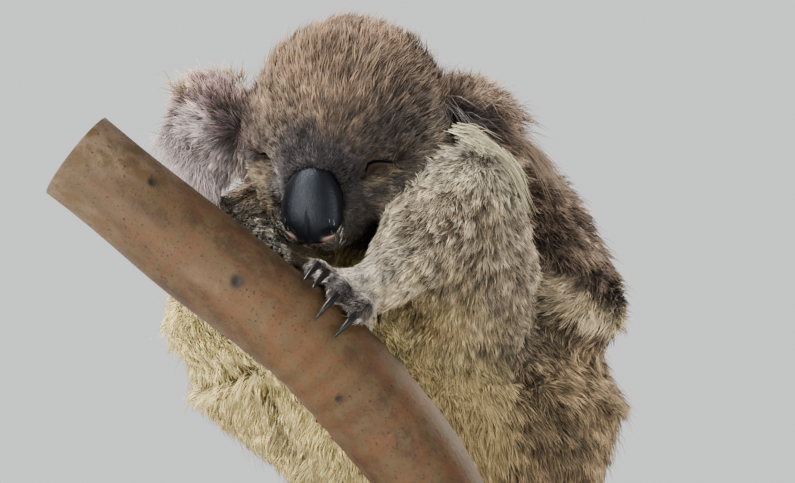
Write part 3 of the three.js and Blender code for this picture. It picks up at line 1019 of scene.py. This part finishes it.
def bare(place):
    """Whether a place is on the nose pad, or in the slit of an eye or on the lid's edge under it."""
    local = in_head(place)
    pad = (local - NOSE) @ NOSE_AXES
    upward = pad[:, 2] / (NOSE_LENGTH / 2)
    edge = np.hypot(pad[:, 0] / nose_half_width(upward), upward)
    found = (edge < PAD_HOLD) & (pad[:, 1] < 0.015)
    for sign in (-1, 1):
        share, lift, out = eye_place(local, sign)
        room = np.sqrt(np.clip(1 - share**2, 0, 1))
        slit_here = (lift < SLIT_ABOVE * room) & (lift > -SLIT_BELOW * room)
        found |= slit_here & (np.abs(out) < 0.012) & (room > 0)
    return found


def line_axes(start, end):
    run = unit(end - start)
    side = unit(np.cross(run, (0.31, 0.95, 0.05)))
    return np.stack([side, np.cross(run, side), run], 1)


# Each zone's middle line on the flat pattern: its length, its middle, and its axes.
OVER_ENDS = 0.09  # how far a limb's line goes on past its joints, in all
UNWRAP = {
    name: (np.linalg.norm(end - start) + OVER_ENDS, (start + end) / 2, line_axes(start, end))
    for name, (start, end, *_) in LIMBS.items()
}
UNWRAP |= {f"ear_{side}": (0.10, ear["centre"], ear["axes"]) for side, ear in EARS.items()}
UNWRAP["head"] = (0.15, HEAD, HEAD_AXES)
UNWRAP["neck"] = (0.20, at(0, 0.02, 0.24), line_axes(*NECK))
UNWRAP["trunk"] = (0.30, at(0, 0.03, 0.13), np.eye(3))
CELLS_ACROSS = 5  # the pattern's squares, and the gap left round each as a share of it
CELL_GAP = 0.03


def unwrapped(place, share):
    """Where a root is on a flat pattern of the skin: each zone has its own square, laid out by the
    angle round its middle line and the distance along it."""
    zone = share.argmax(1)
    spot = np.zeros((len(place), 2))
    for number, name in enumerate(ZONE_NAMES):
        mine = zone == number
        run, middle, axes = UNWRAP[name]
        local = (place[mine] - middle) @ axes
        angle = np.arctan2(local[:, 0], local[:, 1]) / (2 * np.pi) + 0.5
        spot[mine] = np.stack([angle, np.clip(local[:, 2] / run + 0.5, 0, 1)], 1)
    cell = np.stack([zone % CELLS_ACROSS, zone // CELLS_ACROSS], 1)
    return (cell + CELL_GAP + (1 - 2 * CELL_GAP) * spot) / CELLS_ACROSS


# A tuft is darker at the root and paler at the tip: partly the fur's own tone and partly painted shade
# deep in the coat.
ROOT_SHADE, BEND_SHADE, TIP_SHADE = 0.30, 0.90, 1.9  # what a tuft's colour is multiplied by there
BEND_WIDTH = 0.85  # a tuft's width where it bends, as a share of that at its root
PATCH = 0.003  # how wide a tuft's own patch of the baked map is


def tuft_piece(name, tufts, bent=True):
    """One closed three-sided tuft for each root: a ring at the root, one at the middle where it bends,
    and a point. A straight tuft leaves out the middle ring. It is dark at the root, partly as the fur's
    own darker base and partly as painted shade deep in the coat, and pale at the tip, less so where the
    coat itself is pale."""
    root, middle, tip, up, width, colour, spot = tufts
    run = unit(tip - root)
    side = unit(np.cross(run, up))
    top = np.cross(side, run)
    corner = np.array([0.5, 7 / 6, 11 / 6])[:, None] * np.pi
    ring = side[:, None] * np.cos(corner) + top[:, None] * np.sin(corner)
    ring = ring * width[:, None, None]
    rows = [root[:, None] + ring, tip[:, None]]
    face = [(2, 1, 0), (0, 1, 3), (1, 2, 3), (2, 0, 3)]
    dark, across, upward = [ROOT_SHADE] * 3, [0.0, 0.5, 1.0], [0.0] * 3
    if bent:
        rows.insert(1, middle[:, None] + ring * BEND_WIDTH)
        face = [(2, 1, 0), (0, 1, 4), (0, 4, 3), (1, 2, 5), (1, 5, 4), (2, 0, 3), (2, 3, 5)]
        face += [(3, 4, 6), (4, 5, 6), (5, 3, 6)]
        dark, across, upward = dark + [BEND_SHADE] * 3, across * 2, upward + [0.5] * 3
    shape = np.concatenate(rows, 1)
    count, corners = shape.shape[:2]
    faces = (np.arange(count)[:, None, None] * corners + np.array(face)).reshape(-1, 3)
    paint = np.ones((count, corners, 4))
    strength = 1.1 - 0.9 * np.clip(colour.mean(1) / 0.7, 0, 1)
    shade = np.array(dark + [TIP_SHADE]) ** strength[:, None]
    paint[..., :3] = brightened(colour[:, None], shade[..., None])
    made = piece(name, "coat", shape.reshape(-1, 3), faces, fur, coat=paint.reshape(-1, 4))
    patch = PATCH * (np.stack([across + [0.5], upward + [1.0]], 1) - 0.5)
    place = (spot[:, None] + patch).reshape(-1, 2)
    loops = np.empty(len(made.data.loops), np.int32)
    made.data.loops.foreach_get("vertex_index", loops)
    layer = made.data.uv_layers.new(name="OFBake")
    layer.uv.foreach_set("vector", place[loops].astype(np.float32).ravel())


# How far locks sway from the flow in radians, and how they vary in length and depth: all together by
# noises, and each alone by a spread.
SWAY, OWN_SWAY = ((0.38, 0.014, 8), (0.30, 0.006, 9)), 0.16
LENGTHS, OWN_LENGTH = ((0.20, 0.010, 10),), 0.10
DEPTHS, OWN_DEPTH = ((0.30, 0.008, 11),), 0.14
OWN_SHADE = 0.14
LOCK_SPREAD = 0.17  # how far apart a lock's tufts start, as a share of its length
LEAN, OWN_LEAN = 0.45, 0.12  # how far their tips lean to the lock's own
SUNK = 0.001  # how far a root goes into the skin
TIP_RISE = 0.85  # how far a tip rises, as a share of the coat's depth
STRAY = 0.06  # how far a tip strays, as a share of the length
BEND_AT, BEND_RISE = 0.48, 0.26  # how far along a tuft bends, and how far out of line


def grown(roots, facing, each, lift=1.0, longer=1.0):
    """Locks of so many tufts each at the roots: every tuft's root, middle, tip, upward side,
    half-width, colour and place on the pattern. A lock lies along the coat's flow and rises by the
    coat's depth. It sways from the flow and varies in length and depth, partly with its neighbours
    and partly alone. Its tufts start close together and lean to one tip."""
    share = shares(roots)
    depth, length, width = coat_measures(roots, share)
    run = flow(roots, facing, share)
    side = np.cross(facing, run)
    count = len(roots)
    sway = layered(roots, SWAY) + rng.normal(0, OWN_SWAY, count)
    run = run * np.cos(sway)[:, None] + side * np.sin(sway)[:, None]
    side = np.cross(facing, run)
    length = length * longer * (1 + layered(roots, LENGTHS) + rng.normal(0, OWN_LENGTH, count))
    depth = depth * lift * (1 + layered(roots, DEPTHS) + rng.normal(0, OWN_DEPTH, count))
    colour = markings(roots, share)

    def many(rows):
        return np.repeat(rows, each, axis=0)

    own = rng.normal(0, 1, (count * each, 4))
    reach = run * length[:, None] + facing * depth[:, None] * TIP_RISE
    root, tip = roots, roots + reach
    if each > 1:
        spread = (length * LOCK_SPREAD)[:, None, None]
        sideways, onward = np.split(rng.normal(0, 1, (count, each, 2)) * spread, 2, axis=2)
        root = (roots[:, None] + sideways * side[:, None] + onward * run[:, None]).reshape(-1, 3)
        lean = LEAN + OWN_LEAN * own[:, :1]
        tip = (root + many(reach)) * (1 - lean) + many(roots + reach) * lean
        colour = colour * (1 + rng.normal(0, OWN_SHADE, count))[:, None]
    root = root - many(facing) * np.minimum(SUNK, many(depth) * 0.2)[:, None]
    tip = tip + own[:, :3] * many(length)[:, None] * STRAY
    middle = root * (1 - BEND_AT) + tip * BEND_AT + many(facing * depth[:, None]) * BEND_RISE
    colour = many(colour)
    colour = colour * np.exp((0.42 - 0.34 * colour.mean(1)) * own[:, 3])[:, None]
    width = many(width) * (1 + 0.15 * own[:, 2])
    return root, middle, tip, many(facing), width, colour, many(unwrapped(roots, share))


skin_facing = normals(points, triangles)
_, tuft_length, tuft_width = coat_measures(points, skin_share)
thickness = 1 / (tuft_length * tuft_width)
# The woolly under-coat is single short tufts that lie low, and the top coat is locks of longer ones.
PIECES = (1, 2, 3, 4)  # of each coat
UNDER_TUFTS, TOP_LOCKS, LOCK_TUFTS, GUARD_HAIRS = 47000, 3400, 5, 7000
for number in PIECES:
    wool = grown(*seeded(UNDER_TUFTS, thickness), each=1, lift=0.62, longer=0.85)
    tuft_piece(f"under_coat_{number}", wool, bent=False)
for number in PIECES:
    tuft_piece(f"top_coat_{number}", grown(*seeded(TOP_LOCKS, thickness), each=LOCK_TUFTS))

# A few long fine gingery hairs stand proud of the coat everywhere but on the face.
GINGER = np.array([0.18, 0.126, 0.078])
far_from_nose = rise(np.linalg.norm(in_head(points) - NOSE, axis=1), 0.06, 0.10)
hairs = grown(*seeded(GUARD_HAIRS, far_from_nose), each=1, lift=1.45, longer=1.55)
root, middle, tip, up, width, colour, spot = hairs
tuft_piece("guard_hair", (root, middle, tip, up, width * 0.5, colour * 0.5 + GINGER, spot))


HAIR_WIDTH = 0.00026  # half of it
DROOP = 0.22  # how far a hair's tip hangs, as a share of its length


def fringe(number, hairs, tone, length, loose, start, end, first_sweep, last_sweep):
    """Long hairs rooted on a line from start to end, which droop as they sweep away from it. The sweep
    goes from the first to the last along the line, and each hair strays from it by loose."""
    share = rng.random(hairs)[:, None]
    own = rng.normal(0, 1, (hairs, 3, 3))
    root = start + (end - start) * share + own[:, 0] * 0.0022
    sweep = np.array(first_sweep) * (1 - share) + np.array(last_sweep) * share
    run = unit(sweep + own[:, 1] * loose)
    reach = length * (1 + 0.25 * own[:, 2, :1])
    tip = root + run * reach - (0, 0, 1) * reach * DROOP
    middle = root + run * reach * 0.5 + (0, 0, 1) * reach * 0.02
    up = np.broadcast_to((0.1, -0.9, 0.4), root.shape)
    paint = COLOURS[tone] * np.exp(0.35 * own[:, 2, 1:2])
    row = (number + 0.1 + 0.8 * rng.random(hairs)) / len(FRINGES)
    spot = np.stack([0.02 + 0.96 * share[:, 0], row], 1)
    return root, middle, tip, up, np.full(hairs, HAIR_WIDTH), paint, spot


# Loose hair round the ears, and two streaks of long olive hair over the left knee. Each row: how many
# hairs, their colour, length and looseness, where the line starts and ends, and the sweep at each end.
FRINGES = [
    (240, "beige", 0.024, 0.14, at(0.070, -0.030, 0.262), at(0.092, -0.020, 0.244),
     (0.8, -0.1, -0.3), (0.7, -0.1, -0.7)),
    (40, "silver", 0.024, 0.32, at(0.024, -0.054, 0.286), at(0.044, -0.046, 0.272),
     (0.35, -0.35, -0.5), (0.6, -0.3, -0.5)),
    (320, "olive", 0.021, 0.10, at(0.036, -0.086, 0.262), at(0.068, -0.090, 0.246),
     (0.9, 0, -0.15), (0.6, 0.05, -0.75)),
    (260, "olive", 0.019, 0.10, at(0.052, -0.088, 0.254), at(0.076, -0.084, 0.230),
     (0.75, 0, -0.4), (0.4, 0.1, -0.9)),
    (300, "beige", 0.013, 0.25, at(0.028, -0.034, 0.294), at(0.084, -0.024, 0.270),
     (0.6, -0.1, 0.5), (0.9, -0.1, -0.3)),
    (420, "ear_pale", 0.015, 0.25, at(-0.146, -0.046, 0.262), at(-0.122, -0.050, 0.232),
     (-0.7, -0.2, -0.5), (-0.2, -0.3, -0.9)),
    (260, "cheek", 0.014, 0.32, at(-0.140, -0.042, 0.286), at(-0.098, -0.036, 0.294),
     (-0.5, -0.1, 0.8), (0.1, -0.1, 1.0)),
    (260, "ear_pale", 0.012, 0.20, at(-0.130, -0.056, 0.238), at(-0.116, -0.058, 0.224),
     (-0.2, -0.5, -0.8), (0.2, -0.5, -0.9)),
]
strands = [fringe(number, *row) for number, row in enumerate(FRINGES)]
tuft_piece("ear_fringes", [np.concatenate(part) for part in zip(*strands)])


# ---- The nose ----
# A bare leathery pad, nearly black, pebbled all over, with a nostril low down at each side.
NOSTRIL = (0.0135, -0.0185)  # across and up the pad
NOSTRIL_DEPTH, GROOVE_DEPTH = 0.0045, 0.0008
NOSE_DOME = 0.009  # how far the pad stands out, and as far goes in
SQUARE = 2.5  # 2 would make its outline an oval, and more makes it squarer


def ball_grid(rings, around):
    """Angles from one pole to the other and round, for rings of points on a ball."""
    tall = np.linspace(0.012, np.pi - 0.012, rings)
    return np.meshgrid(tall, round_angles(around), indexing="ij")


def nose_surface():
    """An upright oval with a low dome in front: a ball's directions, each stretched by the pad's
    half-sizes, with a comma-shaped hollow for each nostril and a faint groove down the middle. Gives
    the points, and how pink each is: the rims under the nostrils."""
    tall, turn = ball_grid(110, 160)
    squared = (np.abs(np.cos(turn)) ** SQUARE + np.abs(np.sin(turn)) ** SQUARE) ** (-1 / SQUARE)
    x, z = (np.sin(tall) * squared * part for part in (np.cos(turn), np.sin(turn)))
    y = -np.cos(tall)
    domed = np.sign(y) * np.abs(y) ** 0.8 * NOSE_DOME
    place = np.stack([x * nose_half_width(z), domed, z * NOSE_LENGTH / 2], -1)
    pink = np.zeros_like(x)
    for sign in (-1, 1):
        across = sign * place[..., 0] - NOSTRIL[0]
        upward = place[..., 2] - NOSTRIL[1] - 0.35 * across
        hollow = ridge(across, 0.0038) * ridge(upward, 0.0022) * (y < 0.2)
        place[..., 1] += NOSTRIL_DEPTH * hollow
        pink += ridge(across, 0.0055) * ridge(upward + 0.0036, 0.0022)
    groove = ridge(place[..., 0], 0.0012) / (1 + np.exp((place[..., 2] + 0.010) / 0.003))
    place[..., 1] += GROOVE_DEPTH * groove * (y < 0)
    pink = np.concatenate([pink.ravel(), (0, 0)])
    return of_head(place @ NOSE_AXES.T + NOSE), as_marks(pink, pink)


def nose_leather(place):
    """Pebbled leather: small cells that stand up from the furrows between them, nearly black and
    faintly clouded, with pinkish rims to the nostrils."""
    pebble = place.node("TexVoronoi", {"feature": "F1"}, {"Vector": place, "Scale": 1300.0}, "Distance")
    blotch = place.noise(90, 3)
    pink, _ = place.marks()
    dark = blotch.mixed((0.0025, 0.0025, 0.0035, 1), (0.0065, 0.0068, 0.0092, 1))
    return {
        "Base Color": (pink * blotch * 1.8).step(0.15, 0.7).mixed(dark, (0.200, 0.125, 0.095, 1)),
        "Roughness": blotch * 0.20 + 0.19,
        "Normal": (1 - pebble).bump(0.30, 0.0004),
    }


# The pad's reflections are tinted blue: a painted sky reflection.
bluish = {"Specular IOR Level": 0.17, "Specular Tint": (0.75, 0.85, 1, 1)}
leather = material("nose leather", bluish, nose_leather)
shape, pink = nose_surface()
piece("nose_pad", "nose_leather", *woven(shape), leather, ["nose"], marks=pink)


# ---- The whiskers ----
# A few fine stiff hairs on each side of the chin and muzzle, bent upwards over the nose.
WHISKERS = 26
WHISKER_WIDTH = 0.00016  # half of it
side = np.where(np.arange(WHISKERS) % 2, 1.0, -1.0)
own = rng.normal(0, 1, (WHISKERS, 3)) * 0.004
root = np.stack([side * (0.012 + 0.004 * rng.random(WHISKERS)), side * 0, own[:, 0]], 1)
root = root - (0, 0.074, 0.030)
tip = root + np.stack([side * 0.005 + own[:, 1], side * 0 - 0.012, own[:, 2] + 0.016], 1)
middle = (root + tip) / 2 - (0, 0.005, 0.001)
root, middle, tip = of_head(root), of_head(middle), of_head(tip)
spot = np.stack([np.linspace(0.02, 0.98, WHISKERS), np.where(side > 0, 0.9, 0.1)], 1)
up, width, grey = root * 0 + (0, -1, 0.3), side * 0 + WHISKER_WIDTH, root * 0 + 0.35
tuft_piece("whiskers", (root, middle, tip, up, width, grey, spot))


# ---- The closed eyes ----
# Each eye is shut: an upper and a lower lid of thin dark skin that meet in a slit, which slopes down
# towards the nose. The lower lid's edge is reddish.
LID_HEIGHT = 0.0026  # half of it
SWELLING, GROOVE, RIM = 0.0009, 0.0005, 0.0002  # how high the lids are, and how deep and high these
RIM_BELOW = 0.0019  # how far the lower lid's rim is under the slit
FIT = 0.0016  # how far round a place the skin under it counts
skin_local = in_head(points)


def lids(sign):
    """A flat oval that lies on the skin round the eye's slit. Its height over the skin is the lids'
    swelling less the slit's groove, and its rim and back go under the skin."""
    middle, axes = slit(sign)
    tall, turn = ball_grid(60, 96)
    across, upward, back = np.sin(tall) * np.cos(turn), np.sin(tall) * np.sin(turn), -np.cos(tall)
    near = (skin_local - middle) @ axes
    near = near[(np.abs(near) < (0.018, 0.012, 0.015)).all(1)]
    a, b = across * LID_LENGTH, upward * LID_HEIGHT
    far = (a.reshape(-1, 1) - near[:, 0]) ** 2 + (b.reshape(-1, 1) - near[:, 1]) ** 2
    pull = np.exp(-far / (2 * FIT**2))
    level = (pull @ near[:, 2] / pull.sum(1)).reshape(across.shape)
    lift = b - slit_line(across)
    groove = np.exp(-((lift / 0.0011) ** 4)) * (np.abs(across) < 0.96)
    rim = ridge(lift + RIM_BELOW, 0.0006) * (np.abs(across) < 0.9)
    front = SWELLING * np.abs(back) ** 0.5 - 0.0001 - GROOVE * groove + RIM * rim
    height = level + np.where(back < 0, front, -0.001 - 0.003 * np.abs(back) ** 0.5)
    place = np.stack([a, b, height], -1) @ axes.T + middle
    return woven(of_head(place)), np.vstack([as_marks(groove, rim), [(0, 0, 0, 1), (0, 0, 0, 1)]])


def lid_skin(place):
    """Dark thin skin, black in the slit as painted shade, and reddish along the lower lid's edge."""
    groove, rim = place.marks()
    colour = rim.mixed((0.032, 0.024, 0.019, 1), (0.055, 0.036, 0.027, 1))
    return {
        "Base Color": groove.step(0.3, 0.8).mixed(colour, (0.003, 0.0025, 0.0025, 1)),
        "Normal": place.noise(1500, 2).bump(0.3, 0.0004),
    }


lid_finish = material("lid skin", {"Roughness": 0.85, "Specular IOR Level": 0.05}, lid_skin)
for side, sign in (("left", 1), ("right", -1)):
    shape, paint = lids(sign)
    piece(f"eyelids_{side}", "eyelid_skin", *shape, lid_finish, [f"eyelid_{side}"], marks=paint)


# ---- The claws ----
# Long curved claws of dark horn, one on each finger and on each toe but the great toe.
def horn(place):
    """Nearly black horn, faintly clouded."""
    cloud = place.noise(420, 3)
    return {
        "Base Color": cloud.mixed((0.003, 0.0025, 0.003, 1), (0.011, 0.009, 0.010, 1)),
        "Roughness": cloud * 0.2 + 0.22,
    }


claw_horn = material("claw horn", {"Specular IOR Level": 0.22}, horn)
for node in [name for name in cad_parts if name.startswith("claw")]:
    corner, triangle = merged(node)
    claw = piece(node.replace("claw_", "horn_"), "claw_horn", corner, triangle, claw_horn, [node])
    rounded = claw.modifiers.new("rounded", "SUBSURF")
    rounded.levels = rounded.render_levels = 2


# ---- Floor, light and camera ----
# A plain pale disc for a floor and a pale backdrop. The strongest light is high up before the koala
# and to its right, with a lower one under it, a weaker one at its left, and a warm one behind each
# side that edges its crown and back.
FLOOR_RADIUS, FLOOR_THICK, FLOOR_SIDES = 1.7, 0.02, 96
turn = round_angles(FLOOR_SIDES)
disc = np.stack([np.cos(turn), np.sin(turn), turn * 0], -1) * FLOOR_RADIUS
floor_rings = np.stack([disc - (0, 0, FLOOR_THICK), disc])


def pale_floor(place):
    return {"Base Color": place.noise(1.5, 2).mixed((0.70, 0.70, 0.69, 1), (0.74, 0.74, 0.73, 1))}


floor_finish = material("pale floor", {"Roughness": 0.9}, pale_floor)
points, triangles = woven(floor_rings)
mesh = bpy.data.meshes.new("floor")
mesh.from_pydata(points.tolist(), [], triangles.tolist())
mesh.materials.append(floor_finish)
floor = bpy.data.objects.new("floor", mesh)
bpy.context.collection.objects.link(floor)

world = bpy.data.worlds.new("studio")
world.use_nodes = True
soft_light = world.node_tree.nodes["Background"]
soft_light.inputs["Color"].default_value = (0.88, 0.92, 1.0, 1)
soft_light.inputs["Strength"].default_value = 0.52
soft = Shade(soft_light.outputs[0])
backdrop = soft.node("Background", {}, {"Color": (0.90, 0.91, 0.92, 1), "Strength": 1.1})
seen = soft.node("LightPath", {}, {}, "Is Camera Ray")
mixed = soft.node("MixShader", {}, {0: seen, 1: soft, 2: backdrop})
world.node_tree.links.new(mixed.socket, world.node_tree.nodes["World Output"].inputs["Surface"])
bpy.context.scene.world = world

TARGET = Vector((0.0, -0.02, 0.25))
# Each light: its place, its width, its power and its colour.
LIGHTS = {
    "key": ((-2.2, -1.7, 2.0), 0.7, 140, (1.0, 0.97, 0.93)),
    "low": ((-1.9, -1.7, 0.2), 1.0, 70, (1.0, 0.97, 0.90)),
    "fill": ((1.0, -2.5, 0.15), 1.2, 36, (1.0, 0.97, 0.92)),
    "rim left": ((-1.3, 0.9, 1.6), 0.6, 70, (1.0, 0.90, 0.76)),
    "rim right": ((1.5, 1.1, 1.2), 0.7, 80, (1.0, 0.90, 0.78)),
}
for name, (place, size, power, colour) in LIGHTS.items():
    light = bpy.data.lights.new(name, "AREA")
    light.shape = "DISK"
    light.size, light.energy, light.color = size, power, colour
    lamp = bpy.data.objects.new(name, light)
    lamp.location = place
    lamp.rotation_euler = (TARGET - Vector(place)).to_track_quat("-Z", "Y").to_euler()
    lamp.visible_camera = False
    bpy.context.collection.objects.link(lamp)

FRAME_WIDTH, FRAME_HEIGHT = 795, 483  # the image's pixels
PIXEL = 0.00065  # metres of the koala to a pixel
SEAT_ROW, MIDDLE_COLUMN = 535, 395  # where the seat's height and the body's middle fall in the image
DISTANCE = 3.2
SENSOR = 36  # in mm
camera = bpy.data.cameras.new("camera")
camera.sensor_width = SENSOR
camera.lens = SENSOR * DISTANCE / (FRAME_WIDTH * PIXEL)
eye = bpy.data.objects.new("camera", camera)
eye.location = (
    (FRAME_WIDTH / 2 - MIDDLE_COLUMN) * PIXEL,
    -DISTANCE,
    (SEAT_ROW - FRAME_HEIGHT / 2) * PIXEL + SEAT,
)
eye.rotation_euler = (math.pi / 2, 0, 0)
bpy.context.collection.objects.link(eye)
bpy.context.scene.camera = eye
